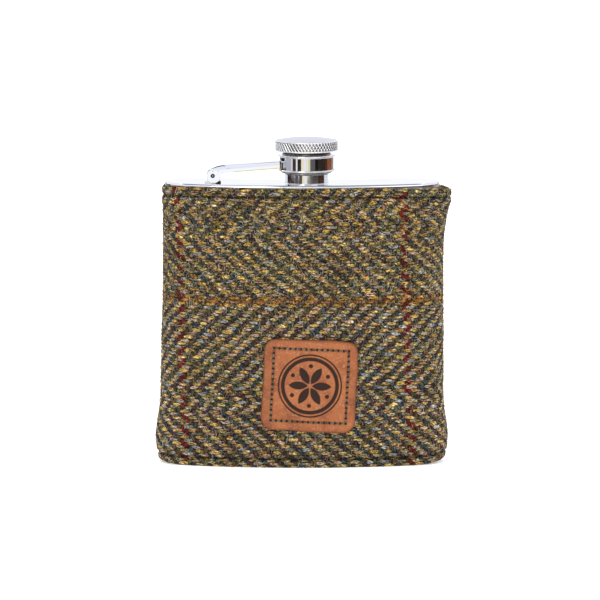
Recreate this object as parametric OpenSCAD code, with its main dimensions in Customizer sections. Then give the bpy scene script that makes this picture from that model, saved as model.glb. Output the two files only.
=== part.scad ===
// Hip flask: a curved steel flask with a captive screw cap, in a sewn tweed sleeve
// with a leather patch. Millimetres. The origin is the middle of the base,
// +X is to the right, +Z is up, and the convex front faces -Y.

/* [Steel flask] */
// Radius of the body's curve, measured to the middle of its depth
curve_r = 100; // [90:1:120]
// Depth of the steel body, front wall to back wall
body_depth = 21.6; // [20:0.2:24]
// Width of the steel body across its rounded ends
body_w = 92; // [88:1:98]
// Height of the steel body from the base to the top plate's face
body_h = 94.8; // [88:0.1:110]
// Thickness of the curved steel wall
wall_t = 0.6; // [0.5:0.1:1.2]
// Thickness of the top and base plates
plate_t = 1.1; // [1:0.1:1.5]

/* [Neck] */
// Distance of the neck's axis from the middle of the flask, to the right
neck_x = 1.5; // [0:0.1:3]
// Radius of the neck's bore
neck_bore_r = 5.2; // [4.8:0.1:5.4]
// Radius of the neck's plain collar
collar_r = 7.3; // [7.2:0.05:7.3]
// Height of the neck above the top plate
neck_h = 8.45; // [8.2:0.05:8.5]
// Distance between two ridges of the neck's thread
thread_pitch = 1.1; // [1:0.1:1.3]

/* [Cap] */
// Radius of the knurled cap
cap_r = 10.5; // [10.2:0.1:11]
// Height of the cap's knurled rim
rim_h = 3.6; // [3:0.1:4]
// Height of the dome above the rim
dome_h = 1; // [0.8:0.1:2]
// Inner radius of the cap's skirt, which clears the neck as the cap swings off
skirt_bore_r = 7.35; // [7.35:0.05:7.45]
// Outer radius of the cap's skirt
skirt_r = 8; // [8:0.05:8.05]
// Outer radius of the collar ring
ring_r = 9; // [8.9:0.05:9.2]
// Height of the collar ring
ring_h = 5.6; // [4.4:0.1:5.8]

/* [Captive arm] */
// Distance from the hinge pin to the cap's axis
arm_reach = 31.4; // [29:0.1:33]
// Height of the hinge pin above the top plate
pin_h = 2.5; // [2.5:0.05:3]
// Radius of the hinge pin
pin_r = 0.75; // [0.7:0.05:0.8]
// Width of the arm's channel across both cheeks
arm_w = 5; // [4.8:0.1:5.4]
// Thickness of the arm's sheet
arm_t = 0.6; // [0.5:0.05:0.7]

/* [Tweed sleeve] */
// Thickness of the tweed
tweed_t = 1.45; // [1.2:0.05:1.7]
// Height of the sleeve
sleeve_h = 93.7; // [86:0.1:94]
// Gap between the base and the sleeve's lower edge
sleeve_lift = 0.1; // [0.1:0.1:0.7]
// Depth of the turned hems
hem_h = 2.9; // [2:0.1:4]
// Distance from one stitch to the next in the sleeve
stitch_pitch = 2.4; // [2:0.1:4]

/* [Leather patch] */
// Width of the patch
patch_w = 31.3; // [24:0.1:40]
// Height of the patch
patch_h = 30.8; // [24:0.1:40]
// Corner radius of the patch
patch_corner = 4; // [2:0.5:6]
// Thickness of the leather
patch_t = 1.3; // [1:0.1:2]
// Middle of the patch, to the right of the flask's middle
patch_x = 2.6; // [-5:0.1:5]
// Middle of the patch above the base
patch_z = 27.8; // [22:0.1:60]
// Turn of the patch, clockwise as seen from the front
patch_turn = 2.8; // [0:0.1:4]
// Distance from the patch's edge to its stitching
patch_inset = 3.2; // [2:0.1:4]
// Stitches along each side of the patch
patch_stitches = 14; // [10:1:18]

/* [Hidden] */

$fn = 96;
overlap = 1;            // how far a cutting tool runs past what it cuts
touch = 0.05;           // gap between soft pieces and what they lie on

// The outline of the body is an arc of constant depth with round ends. The arc's
// centre lies behind the flask, where it puts the origin at the middle of the whole
// flask from the patch's stitches to the back of the sleeve.
half_d = body_depth / 2;
arc_half = asin((body_w / 2 - half_d) / curve_r);
tweed_in = half_d + touch;
tweed_out = tweed_in + tweed_t;
patch_in = tweed_out + touch;
patch_out = patch_in + patch_t;
patch_thread_t = 0.3;
front_reach = curve_r + patch_out + touch + patch_thread_t;
back_reach = curve_r * cos(arc_half) - tweed_out;
curve_y = (front_reach + back_reach) / 2;
end_x = curve_r * sin(arc_half);
end_y = curve_y - curve_r * cos(arc_half);
neck_y = curve_y - sqrt(pow(curve_r, 2) - pow(neck_x, 2));

// Heights, upwards
plate_z = body_h;
collar_h = 3.2;
skirt_z = plate_z + 3.3;
lip_h = 0.6;            // the lip round the skirt, which keeps the ring on
lip_r = 8.7;
ring_play = 0.1;        // between the lip and the ring
ring_z = skirt_z + lip_h + ring_play;
rim_z = plate_z + 10.75;
rim_bevel = 0.4;
web_z = plate_z + 9.55; // the skirt's closed top
web_t = 0.9;
gasket_t = 0.95;
gasket_play = 0.15;     // between the gasket and the skirt's bore
seat_h = 1;             // depth of the skirt's seat in the cap
sink = 0.1;             // how far one feature of a turned part runs into the next
spigot_r = 5.95;        // the neck where it passes through the plate
spigot_h = 0.6;         // and how far it reaches below the plate
thread_core_r = 6.1;
thread_crest_r = 6.5;

// The hinge
pin_x = neck_x - arm_reach;
pin_z = plate_z + pin_h;
pin_play = 0.05;
knuckle_w = 3.2;
knuckle_r = 2.1;
lug_r = 2.35;
lug_x = 0.35;           // how far the lug's middle lies from the pin, towards the ring
lug_drop = 0.05;        // and below it
arm_rise_start = 3.6;   // height of the arm's upper edge above the pin, near the hinge
arm_rise_end = 4.8;     // and at the ring
arm_drop_start = 1.1;   // height of the arm's lower edge above the pin, near the hinge
arm_drop_end = 2.4;     // and at the ring
web_start = 4.2;        // where the channel's web begins, measured from the pin
heel = 6.2;             // where the arm's lower edge straightens, measured from the pin
weld_gap = 0.02;
arm_end = arm_reach - ring_r - weld_gap;

// The sleeve
seam_gap = 0.5;
seam_half = asin(seam_gap / 2 / tweed_out);
thread_w = 0.5;

// ---------------------------------------------------------------- outline sweeps

// Everything that follows the body's outline is drawn for one side and mirrored.
module both_sides() {
    children();
    mirror([1, 0, 0])
        children();
}

// The children are a 2D profile: x is the distance from the middle of the body's
// depth, y is the height. It is swept along the front of the outline, or the back,
// from one round end to just past the middle.
module arc_sweep(at_back) {
    past_middle = 0.5;
    both_sides()
        translate([0, curve_y, 0])
            rotate([0, 0, -90 - arc_half])
                rotate_extrude(angle = arc_half + past_middle, $fn = 240)
                    translate([curve_r, 0])
                        mirror([at_back ? 1 : 0, 0])
                            children();
}

// The same round the ends: through an angle from where the back meets the end, or
// from where the front meets it.
module end_sweep(from_back, angle) {
    both_sides()
        translate([from_back ? -end_x : end_x, end_y, 0])
            rotate([0, 0, from_back ? 90 - arc_half : arc_half - 90])
                rotate_extrude(angle = angle)
                    children();
}

// Front and back of the outline, up to the side seams, which face straight out.
module front_sweep(seam_half) {
    arc_sweep(false) children();
    end_sweep(false, 90 - arc_half - seam_half) children();
}

module back_sweep(seam_half) {
    arc_sweep(true) children();
    end_sweep(true, 90 + arc_half - seam_half) children();
}

module full_sweep() {
    arc_sweep(false) children();
    arc_sweep(true) children();
    end_sweep(true, 180) children();
}

// ---------------------------------------------------------------- steel flask

module body_shell() {
    color([0.78, 0.79, 0.8])
        full_sweep()
            translate([half_d - wall_t, plate_t])
                square([wall_t, body_h - 2 * plate_t]);
}

// Half of the top plate's profile, with its rounded shoulder.
module plate_profile() {
    shoulder_r = plate_t * 0.8;
    steps = 6;
    shoulder = [
        for (i = [0:steps])
            let (a = 90 * i / steps)
            [half_d - shoulder_r * (1 - cos(a)), plate_t - shoulder_r * (1 - sin(a))]
    ];
    polygon(concat([[0, 0], [half_d, 0]], shoulder, [[0, plate_t]]));
}

module top_plate() {
    color([0.85, 0.86, 0.88])
        difference() {
            translate([0, 0, plate_z - plate_t])
                full_sweep()
                    plate_profile();
            translate([neck_x, neck_y, plate_z - plate_t - overlap])
                cylinder(r = spigot_r + touch, h = plate_t + 2 * overlap);
        }
}

module base_plate() {
    color([0.7, 0.71, 0.72])
        full_sweep()
            square([half_d, plate_t]);
}

// Places a turned part on the neck's axis, with heights measured from the top plate.
module on_neck() {
    translate([neck_x, neck_y, plate_z])
        rotate_extrude()
            children();
}

module neck_tube() {
    ridge_h = thread_pitch * 0.45;
    above_collar = 0.5;
    below_mouth = 0.3;
    thread_z = collar_h + above_collar;
    turns = floor((neck_h - thread_z - below_mouth) / thread_pitch);
    color([0.72, 0.73, 0.75])
        on_neck() {
            translate([neck_bore_r, -plate_t - spigot_h])
                square([spigot_r - neck_bore_r, plate_t + spigot_h]);
            translate([neck_bore_r, 0])
                square([collar_r - neck_bore_r, collar_h]);
            translate([neck_bore_r, 0])
                square([thread_core_r - neck_bore_r, neck_h]);
            for (i = [0:turns - 1])
                translate([neck_bore_r, thread_z + i * thread_pitch])
                    square([thread_crest_r - neck_bore_r, ridge_h]);
        }
}

// ---------------------------------------------------------------- hinge and arm

// Lays a profile drawn in x and z, measured from the pin, along the arm's width.
module across_arm(width) {
    translate([pin_x, neck_y + width / 2, pin_z])
        rotate([90, 0, 0])
            linear_extrude(width)
                children();
}

module hinge_knuckle() {
    foot_l = 5.4;
    foot_h = 0.5;
    stem_w = 3.8;
    color([0.75, 0.76, 0.78])
        across_arm(knuckle_w)
            difference() {
                union() {
                    circle(knuckle_r);
                    translate([-stem_w / 2, -pin_h])
                        square([stem_w, pin_h]);
                    translate([-foot_l / 2, -pin_h])
                        square([foot_l, foot_h]);
                }
                circle(pin_r + pin_play);
            }
}

module hinge_pin() {
    proud = 0.2;
    color([0.6, 0.61, 0.63])
        across_arm(arm_w + 2 * proud)
            circle(pin_r);
}

// Side outline of the arm between the lug and the ring.
module arm_outline() {
    polygon([
        [0, 0],
        [lug_x, lug_r - lug_drop],
        [web_start, arm_rise_start],
        [arm_end, arm_rise_end],
        [arm_end, arm_drop_end],
        [heel, arm_drop_start]
    ]);
}

// The space between the arm's cheeks: open below, and above as far as the web.
module channel_outline() {
    clear = 6;
    polygon([
        [-clear, -clear],
        [arm_reach, -clear],
        [arm_reach, arm_rise_end - arm_t],
        [web_start, arm_rise_start - arm_t],
        [web_start, clear],
        [-clear, clear]
    ]);
}

module captive_arm() {
    color([0.8, 0.81, 0.83])
        difference() {
            union() {
                across_arm(arm_w)
                    arm_outline();
                across_arm(arm_w)
                    translate([lug_x, -lug_drop])
                        circle(lug_r);
            }
            across_arm(arm_w - 2 * arm_t)
                channel_outline();
            across_arm(arm_w + 2 * overlap)
                circle(pin_r + pin_play);
        }
}

// ---------------------------------------------------------------- cap

module cap_ring() {
    ring_bore_r = skirt_r + 0.3;
    upper_lip = 0.45;
    lower_lip = 0.3;
    lower_lip_inset = 0.1;
    color([0.85, 0.86, 0.88])
        on_neck()
            translate([0, ring_z - plate_z]) {
                translate([ring_bore_r, 0])
                    square([ring_r - ring_bore_r, ring_h]);
                translate([ring_r, ring_h - upper_lip])
                    circle(upper_lip);
                translate([ring_r - lower_lip_inset, lower_lip])
                    circle(lower_lip);
            }
}

// The dome's section is part of a circle through its crown and the rim's inner edge.
module dome_profile() {
    dome_edge_r = cap_r - rim_bevel;
    dome_curve = (pow(dome_edge_r, 2) + pow(dome_h, 2)) / (2 * dome_h);
    intersection() {
        translate([0, dome_h - dome_curve])
            circle(dome_curve, $fn = 360);
        square([dome_edge_r, dome_h]);
    }
}

module cap_shell() {
    color([0.66, 0.66, 0.68])
        on_neck()
            translate([0, rim_z - plate_z]) {
                difference() {
                    polygon([
                        [0, 0],
                        [cap_r - rim_bevel, 0],
                        [cap_r, rim_bevel],
                        [cap_r, rim_h - rim_bevel],
                        [cap_r - rim_bevel, rim_h],
                        [0, rim_h]
                    ]);
                    translate([0, -overlap])
                        square([skirt_r, overlap + seat_h]);
                }
                translate([0, rim_h])
                    dome_profile();
            }
}

module cap_insert() {
    lip_slope_h = lip_h * 0.6;
    color([0.7, 0.71, 0.73])
        on_neck()
            translate([0, skirt_z - plate_z]) {
                translate([skirt_bore_r, 0])
                    square([skirt_r - skirt_bore_r, rim_z + seat_h - skirt_z]);
                polygon([
                    [skirt_bore_r + sink, 0],
                    [skirt_r, 0],
                    [lip_r, lip_slope_h],
                    [lip_r, lip_h],
                    [skirt_bore_r + sink, lip_h]
                ]);
                translate([0, web_z - skirt_z])
                    square([skirt_r - sink, web_t]);
            }
}

module cap_gasket() {
    color([0.15, 0.15, 0.15])
        on_neck()
            translate([0, web_z - plate_z - gasket_t])
                square([skirt_bore_r - gasket_play, gasket_t]);
}

// ---------------------------------------------------------------- tweed sleeve

module sleeve_profile() {
    translate([tweed_in, sleeve_lift])
        square([tweed_t, sleeve_h]);
}

module tweed_front() {
    color([0.42, 0.38, 0.27])
        front_sweep(seam_half)
            sleeve_profile();
}

module tweed_back() {
    color([0.38, 0.34, 0.24])
        back_sweep(seam_half)
            sleeve_profile();
}

// Ladder stitches that bridge the gap between the two panels on one side.
module seam_thread(side) {
    depth = 0.6;
    count = floor((sleeve_h - 2 * hem_h) / stitch_pitch);
    color([0.3, 0.26, 0.16])
        for (i = [0:count])
            translate([
                side * (end_x + tweed_out - depth),
                end_y,
                sleeve_lift + hem_h + i * stitch_pitch
            ])
                cube([thread_w, seam_gap - 2 * touch, thread_w], center = true);
}

module seam_thread_left() {
    seam_thread(-1);
}

module seam_thread_right() {
    seam_thread(1);
}

// A row of topstitches on the sleeve's front and back at one height.
module hem_thread(z) {
    stitch_l = stitch_pitch * 0.7;
    thread_t = 0.25;
    count = floor(2 * end_x / stitch_pitch / 2);
    step = atan(stitch_pitch / curve_r);
    color([0.25, 0.22, 0.15])
        translate([0, curve_y, z])
            for (i = [-count:count])
                rotate([0, 0, i * step]) {
                    translate([0, -curve_r - tweed_out - touch - thread_t / 2, 0])
                        cube([stitch_l, thread_t, thread_w], center = true);
                    translate([0, -curve_r + tweed_out + touch + thread_t / 2, 0])
                        cube([stitch_l, thread_t, thread_w], center = true);
                }
}

module top_hem_thread() {
    hem_thread(sleeve_lift + sleeve_h - hem_h);
}

module bottom_hem_thread() {
    hem_thread(sleeve_lift + hem_h);
}

// ---------------------------------------------------------------- leather patch

// Corner points of a rectangle with round corners, centred on the origin.
function round_rect(w, h, r, steps = 6) = [
    for (corner = [0:3], i = [0:steps])
        let (a = 90 * corner + 90 * i / steps)
        let (sx = corner == 0 || corner == 3 ? 1 : -1)
        let (sy = corner < 2 ? 1 : -1)
        [sx * (w / 2 - r) + r * cos(a), sy * (h / 2 - r) + r * sin(a)]
];

module leather_patch() {
    reach = 40;
    color([0.62, 0.33, 0.16])
        intersection() {
            translate([0, curve_y, 0])
                rotate([0, 0, -90 - arc_half])
                    rotate_extrude(angle = 2 * arc_half, $fn = 240)
                        translate([curve_r + patch_in, patch_z - patch_h])
                            square([patch_t, 2 * patch_h]);
            translate([patch_x, 0, patch_z])
                rotate([90, patch_turn, 0])
                    linear_extrude(reach)
                        polygon(round_rect(patch_w, patch_h, patch_corner));
        }
}

// One stitch on the patch, at (u, v) from its middle, lying along angle a.
module patch_stitch(u, v, a) {
    stitch_l = 1.3;
    x = patch_x + u * cos(patch_turn) + v * sin(patch_turn);
    z = patch_z + v * cos(patch_turn) - u * sin(patch_turn);
    bearing = asin(x / (curve_r + patch_out));
    translate([0, curve_y, z])
        rotate([0, 0, bearing])
            translate([0, -front_reach + patch_thread_t / 2, 0])
                rotate([0, a + patch_turn, 0])
                    cube([stitch_l, patch_thread_t, thread_w], center = true);
}

module patch_thread() {
    half_u = patch_w / 2 - patch_inset;
    half_v = patch_h / 2 - patch_inset;
    color([0.35, 0.3, 0.2])
        for (i = [0:patch_stitches - 1], side = [-1, 1]) {
            along = (i + 0.5) / patch_stitches * 2 - 1;
            patch_stitch(along * half_u, side * half_v, 0);
            patch_stitch(side * half_u, along * half_v, 90);
        }
}

body_shell();
top_plate();
base_plate();
neck_tube();
hinge_knuckle();
hinge_pin();
captive_arm();
cap_ring();
cap_shell();
cap_insert();
cap_gasket();
tweed_front();
tweed_back();
seam_thread_left();
seam_thread_right();
top_hem_thread();
bottom_hem_thread();
leather_patch();
patch_thread();
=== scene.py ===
"""The looks of a steel hip flask in a tweed sleeve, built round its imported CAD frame.

Everything is in metres, in the CAD's frame: +X right, +Z up, the convex front faces -Y.
"""

import math

import bpy
import numpy as np
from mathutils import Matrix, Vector


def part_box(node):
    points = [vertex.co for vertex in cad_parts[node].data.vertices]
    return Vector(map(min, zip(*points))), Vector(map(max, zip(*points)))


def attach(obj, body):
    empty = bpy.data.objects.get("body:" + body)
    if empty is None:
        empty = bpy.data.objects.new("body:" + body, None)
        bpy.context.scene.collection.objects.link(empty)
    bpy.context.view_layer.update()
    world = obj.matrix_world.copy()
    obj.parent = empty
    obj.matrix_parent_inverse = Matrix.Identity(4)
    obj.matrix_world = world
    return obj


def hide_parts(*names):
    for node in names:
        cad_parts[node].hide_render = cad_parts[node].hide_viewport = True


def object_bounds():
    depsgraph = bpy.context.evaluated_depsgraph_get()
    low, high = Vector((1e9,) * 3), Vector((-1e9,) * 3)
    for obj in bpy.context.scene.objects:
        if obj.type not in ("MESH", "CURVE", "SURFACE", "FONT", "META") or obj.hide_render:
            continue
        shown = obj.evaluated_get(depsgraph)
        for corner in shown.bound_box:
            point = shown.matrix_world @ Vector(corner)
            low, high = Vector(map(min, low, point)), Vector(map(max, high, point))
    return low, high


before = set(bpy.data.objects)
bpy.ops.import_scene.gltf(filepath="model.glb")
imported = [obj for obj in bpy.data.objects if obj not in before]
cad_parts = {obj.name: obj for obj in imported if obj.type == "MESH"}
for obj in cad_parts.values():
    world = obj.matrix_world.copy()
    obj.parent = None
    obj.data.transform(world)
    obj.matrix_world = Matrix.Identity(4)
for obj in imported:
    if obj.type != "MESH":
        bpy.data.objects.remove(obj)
CAD_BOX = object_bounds()

MM = 0.001
QUARTER = math.pi / 2

# Dimensions

# The body's outline is an arc with round ends, as in the CAD model.
CURVE_R = 100 * MM
HALF_DEPTH = 10.8 * MM
shell_low, shell_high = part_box("body_shell")
END_X = shell_high.x - HALF_DEPTH
END_Y = shell_high.y - HALF_DEPTH
CURVE_Y = shell_low.y + HALF_DEPTH + CURVE_R
ARC = math.asin(END_X / CURVE_R)

sleeve_low, sleeve_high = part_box("tweed_front")
FACE = sleeve_high.x - END_X  # the tweed's face, from the middle of the depth
SLEEVE_Z0, SLEEVE_Z1 = sleeve_low.z - 0.05 * MM, sleeve_high.z
TUCKED = HALF_DEPTH + 0.12 * MM  # the turned-in side of the hems
TOP_CREASE = SLEEVE_Z1 - 3.0 * MM  # the hems' stitch lines
BOTTOM_CREASE = SLEEVE_Z0 + 2.8 * MM
EDGE = 1.0 * MM  # the panels turn in this close to the seams

plate_low, plate_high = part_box("top_plate")
PLATE_Z = plate_high.z

neck_low, neck_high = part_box("neck_tube")
NECK = Vector(((neck_low.x + neck_high.x) / 2, (neck_low.y + neck_high.y) / 2, 0))
COLLAR_R = (neck_high.x - neck_low.x) / 2
NECK_BORE_R = 5.2 * MM
COLLAR_TOP = PLATE_Z + 3.2 * MM
THREAD_PITCH = 1.1 * MM

pin_low, pin_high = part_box("hinge_pin")
PIN = (pin_low + pin_high) / 2
arm_low, arm_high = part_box("captive_arm")
ARM_END = arm_high.x - PIN.x
# The arm's lower edge, as (x, z) from the pin: where it straightens, and at the ring.
ARM_LOW = (6.2 * MM, 1.1 * MM, ARM_END, 2.4 * MM)

ring_low, ring_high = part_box("cap_ring")
insert_low, insert_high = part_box("cap_insert")
gasket_low, gasket_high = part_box("cap_gasket")
cap_low, cap_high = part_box("cap_shell")
CAP_R = (cap_high.x - cap_low.x) / 2
RIM_TOP = cap_low.z + 3.6 * MM

# The cloth: one repeat of the 2/2 twill is four ends by four picks.
END_PITCH = 1.34 * MM
PICK_PITCH = 1.13 * MM
REVERSALS = (16, 19, 23, 50, 68, 71, 75)  # picks at which the twill turns
RED_ENDS, RED_REPEAT = 26, 58  # first red end, and ends from stripe to stripe
ORANGE_PICK = 49
SKEW = 0.03  # the warp leans this much
SKEW_Z = 51 * MM
FIBRES = 3600  # stray fibres on each panel

patch_low, patch_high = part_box("leather_patch")
PATCH_X = (patch_low.x + patch_high.x) / 2
PATCH_Z = (patch_low.z + patch_high.z) / 2
PATCH_ALONG = (CURVE_R + FACE) * math.asin(PATCH_X / (CURVE_R + FACE))
PATCH_TURN = math.radians(2.8)
PATCH_SIZE = (31.3 * MM, 30.8 * MM)
HALF_W, HALF_H = PATCH_SIZE[0] / 2, PATCH_SIZE[1] / 2
PATCH_CORNER = 4 * MM
PATCH_T = 1.3 * MM
STITCH_INSET = 3.2 * MM
PATCH_STITCHES = 14

# Small tools


def value_noise(x, y, seed):
    """Smooth noise from -1 to 1 on arrays of coordinates, one random value per unit."""
    lattice = np.random.default_rng(seed).uniform(-1, 1, (256, 256))
    xi, yi = np.floor(x).astype(int), np.floor(y).astype(int)
    fx, fy = x - xi, y - yi
    fx, fy = fx * fx * (3 - 2 * fx), fy * fy * (3 - 2 * fy)
    xi, yi, xj, yj = xi % 256, yi % 256, (xi + 1) % 256, (yi + 1) % 256
    low = lattice[xi, yi] * (1 - fx) + lattice[xj, yi] * fx
    high = lattice[xi, yj] * (1 - fx) + lattice[xj, yj] * fx
    return low * (1 - fy) + high * fy


def smoothstep(low, high, x):
    t = np.clip((x - low) / (high - low), 0, 1)
    return t * t * (3 - 2 * t)


def bell(x, middle, width):
    return np.exp(-(((x - middle) / width) ** 2))


def circle(count):
    """The bearings of points once round."""
    return np.linspace(0, math.tau, count, endpoint=False)


def arc(x, z, radius, start, stop, count):
    """Points on part of a circle, from one bearing to another."""
    return [(x + radius * math.cos(t), z + radius * math.sin(t)) for t in np.linspace(start, stop, count)]


def grid_faces(rows, columns, close_rows=False, close_columns=False):
    """Quads of a grid whose points are stored row by row."""
    r = np.arange(rows if close_rows else rows - 1)[:, None]
    c = np.arange(columns if close_columns else columns - 1)[None, :]
    r2, c2 = (r + 1) % rows, (c + 1) % columns
    quads = np.stack(np.broadcast_arrays(r * columns + c, r * columns + c2,
                                         r2 * columns + c2, r2 * columns + c), axis=-1)
    return quads.reshape(-1, 4)


def add_object(name, data):
    made = bpy.data.objects.new(name, data)
    bpy.context.scene.collection.objects.link(made)
    return made


def add_mesh(name, points, faces, material=None):
    mesh = bpy.data.meshes.new(name)
    mesh.from_pydata([tuple(p) for p in points], [], [tuple(f) for f in faces])
    if material:
        mesh.materials.append(material)
    return add_object(name, mesh)


def new_piece(name, shape, material, body, replaces=(), smooth=True):
    """A mesh from (points, faces), riding on a body and standing for CAD nodes."""
    piece = add_mesh(name, *shape, material)
    piece.data.validate()
    piece.data.polygons.foreach_set("use_smooth", [smooth] * len(piece.data.polygons))
    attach(piece, body)
    if replaces:
        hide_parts(*replaces)
    return piece


def modify(piece, kind, **settings):
    modifier = piece.modifiers.new(kind, kind)
    for key, value in settings.items():
        setattr(modifier, key, value)


def mark_points(piece, name, values):
    """Stores a number for each point, which the material reads by name."""
    layer = piece.data.attributes.new(name, "FLOAT", "POINT")
    layer.data.foreach_set("value", values.ravel())


def joined(parts):
    """Several (points, faces) as one."""
    points, faces, start = [], [], 0
    for p, f in parts:
        points.append(np.asarray(p, float))
        faces.extend((np.asarray(q) + start).tolist() for q in f)
        start += len(p)
    return np.concatenate(points), faces


def fillet(corners, radius, steps=5):
    """A closed outline with each corner rounded."""
    done = []
    n = len(corners)
    for k in range(n):
        before, here, after = (Vector(corners[i % n]) for i in (k - 1, k, k + 1))
        a, b = before - here, after - here
        reach = min(radius, a.length * 0.45, b.length * 0.45)
        start, end = here + a.normalized() * reach, here + b.normalized() * reach
        for t in np.linspace(0, 1, steps + 1):
            done.append(start * (1 - t) ** 2 + here * 2 * t * (1 - t) + end * t ** 2)
    return done


def supported(profile, closed=False, gap=0.06 * MM):
    """The same profile with a point close to each end of every long flat, to keep it flat."""
    points = [Vector(p) for p in profile]
    done = []
    for k, here in enumerate(points):
        done.append(here)
        if k + 1 == len(points) and not closed:
            break
        after = points[(k + 1) % len(points)]
        run = after - here
        if run.length > 3 * gap:
            done += [here + run.normalized() * gap, after - run.normalized() * gap]
    return done


def turned(before, r, z, after=()):
    """Rings round the neck's axis: plain (radius, height), rows r at heights z, and plain."""
    count = r.shape[1]
    first, last = (np.array([tuple(p) for p in plain]).reshape(-1, 2, 1) + np.zeros(count)
                   for plain in (before, after))
    r, z = np.concatenate([first, np.stack([r, z + 0 * r], axis=1), last]).swapaxes(0, 1)
    angle = circle(count)
    points = np.stack([NECK.x + r * np.cos(angle), NECK.y + r * np.sin(angle), z], axis=-1)
    return points.reshape(-1, 3), grid_faces(len(r), count, True, True)[:, ::-1]


def lathe(profile, count=128):
    """A closed outline of (radius, height) turned about the neck's axis."""
    return turned(supported(profile, True), np.zeros((0, count)), np.zeros((0, 1)))


def outline(along, out, back=False):
    """Where the cloth lies on the flask: x, y and the outward direction.

    along goes round the sleeve's face from the middle of its side; out starts at the
    middle of the body's depth.
    """
    side, far = np.sign(along), np.abs(along)
    arc_r = CURVE_R - FACE if back else CURVE_R + FACE
    on_arc = far < arc_r * ARC
    start = -ARC if back else ARC
    turn = np.where(on_arc, far / arc_r, start + (far - arc_r * ARC) / FACE)
    x = np.where(on_arc, CURVE_R * np.sin(turn), END_X)
    y = np.where(on_arc, CURVE_Y - CURVE_R * np.cos(turn), END_Y)
    nx = np.where(on_arc & back, -1, 1) * np.sin(turn)
    ny = np.cos(turn) * (1 if back else -1)
    return side * (x + out * nx), y + out * ny, side * nx, ny


def half_length(back):
    """Distance round the sleeve's face from the middle to the side seam."""
    if back:
        return (CURVE_R - FACE) * ARC + FACE * (QUARTER + ARC)
    return (CURVE_R + FACE) * ARC + FACE * (QUARTER - ARC)


# Shader formulas


class Field:
    """A number inside a node tree, so that shader formulas read like ordinary ones."""

    def __init__(self, graph, socket):
        self.graph, self.socket = graph, socket


for word, name in (("add", "ADD"), ("sub", "SUBTRACT"), ("mul", "MULTIPLY"), ("truediv", "DIVIDE")):
    setattr(Field, f"__{word}__", lambda a, b, name=name: a.graph.math(name, a, b))
    setattr(Field, f"__r{word}__", lambda a, b, name=name: a.graph.math(name, b, a))


class Graph:
    """Builds one material's node tree."""

    def __init__(self, name):
        self.material = bpy.data.materials.new(name)
        self.material.use_nodes = True
        self.tree = self.material.node_tree
        self.shader = self.tree.nodes["Principled BSDF"]

    def node(self, kind, inputs=None, **settings):
        made = self.tree.nodes.new(kind)
        for key, value in settings.items():
            setattr(made, key, value)
        for key, value in (inputs or {}).items():
            self.put(made.inputs[key], value)
        return made

    def put(self, socket, value):
        if isinstance(value, Field):
            value = value.socket
        if isinstance(value, bpy.types.NodeSocket):
            self.tree.links.new(value, socket)
        else:
            socket.default_value = value

    def field(self, kind, inputs=None, output=0, **settings):
        return Field(self, self.node(kind, inputs, **settings).outputs[output])

    def math(self, operation, *values):
        return self.field("ShaderNodeMath", dict(enumerate(values)), operation=operation)

    def floor(self, x):
        return self.math("FLOOR", x)

    def cos(self, x):
        return self.math("COSINE", x)

    def square(self, x):
        return self.math("POWER", x, 2)

    def larger(self, a, b):
        return self.math("MAXIMUM", a, b)

    def ramp(self, low, high, x):
        """0 below low, 1 above high, smooth between."""
        return self.field("ShaderNodeMapRange", {"Value": x, "From Min": low, "From Max": high},
                          interpolation_type="SMOOTHSTEP")

    def vector(self, x, y, z=0.0):
        return self.node("ShaderNodeCombineXYZ", {0: x, 1: y, 2: z}).outputs[0]

    def split(self, vector):
        made = self.node("ShaderNodeSeparateXYZ", {"Vector": vector})
        return tuple(Field(self, s) for s in made.outputs)

    def attribute(self, name, output="Fac"):
        """What a piece's points are marked with."""
        return self.field("ShaderNodeAttribute", output=output, attribute_name=name)

    def position(self):
        """The place on the piece, which stays with it when it moves."""
        return self.node("ShaderNodeTexCoord").outputs["Object"]

    def xyz(self):
        return self.split(self.position())

    def noise(self, scale, detail=2.0, roughness=0.5, at=None):
        inputs = {"Vector": at or self.position(), "Scale": scale, "Detail": detail}
        return self.field("ShaderNodeTexNoise", {**inputs, "Roughness": roughness})

    def random(self, x, y, z=0.0):
        """A random number for each whole x, y, z."""
        return self.field("ShaderNodeTexWhiteNoise", {"Vector": self.vector(x, y, z)}, "Value")

    def palette(self, colors, x, interpolation="CONSTANT"):
        """One of the colours, given as for srgb(), for x from 0 to 1."""
        made = self.node("ShaderNodeValToRGB", {"Fac": x})
        made.color_ramp.interpolation = interpolation
        stops = made.color_ramp.elements
        steps = len(colors) if interpolation == "CONSTANT" else len(colors) - 1
        while len(stops) < len(colors):
            stops.new(1.0)
        for k, color in enumerate(colors):
            stops[k].position = k / steps
            stops[k].color = (*srgb(*color), 1)
        return made.outputs["Color"]

    def mix(self, amount, a, b, blend="MIX"):
        a, b = ((*v, 1) if isinstance(v, tuple) else v for v in (a, b))
        made = self.node("ShaderNodeMix", data_type="RGBA", blend_type=blend)
        for index, value in ((0, amount), (6, a), (7, b)):
            self.put(made.inputs[index], value)
        return made.outputs[2]

    def dimmed(self, color, light):
        """A colour times a number."""
        gray = self.node("ShaderNodeCombineColor", {0: light, 1: light, 2: light})
        return self.mix(1.0, color, gray.outputs[0], "MULTIPLY")

    def bump(self, height, strength, distance):
        inputs = {"Height": height, "Strength": strength, "Distance": distance}
        self.put(self.shader.inputs["Normal"], self.node("ShaderNodeBump", inputs).outputs[0])

    def finish(self, **inputs):
        """Sets the shader's sockets, named with underscores for spaces."""
        for key, value in inputs.items():
            self.put(self.shader.inputs[key.replace("_", " ")], value)
        return self.material


def srgb(r, g, b):
    """A colour as it looks on screen, 0 to 255, in linear light."""
    return tuple(c / 255 / 12.92 if c <= 10 else ((c / 255 + 0.055) / 1.055) ** 2.4 for c in (r, g, b))


# Cloth


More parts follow.
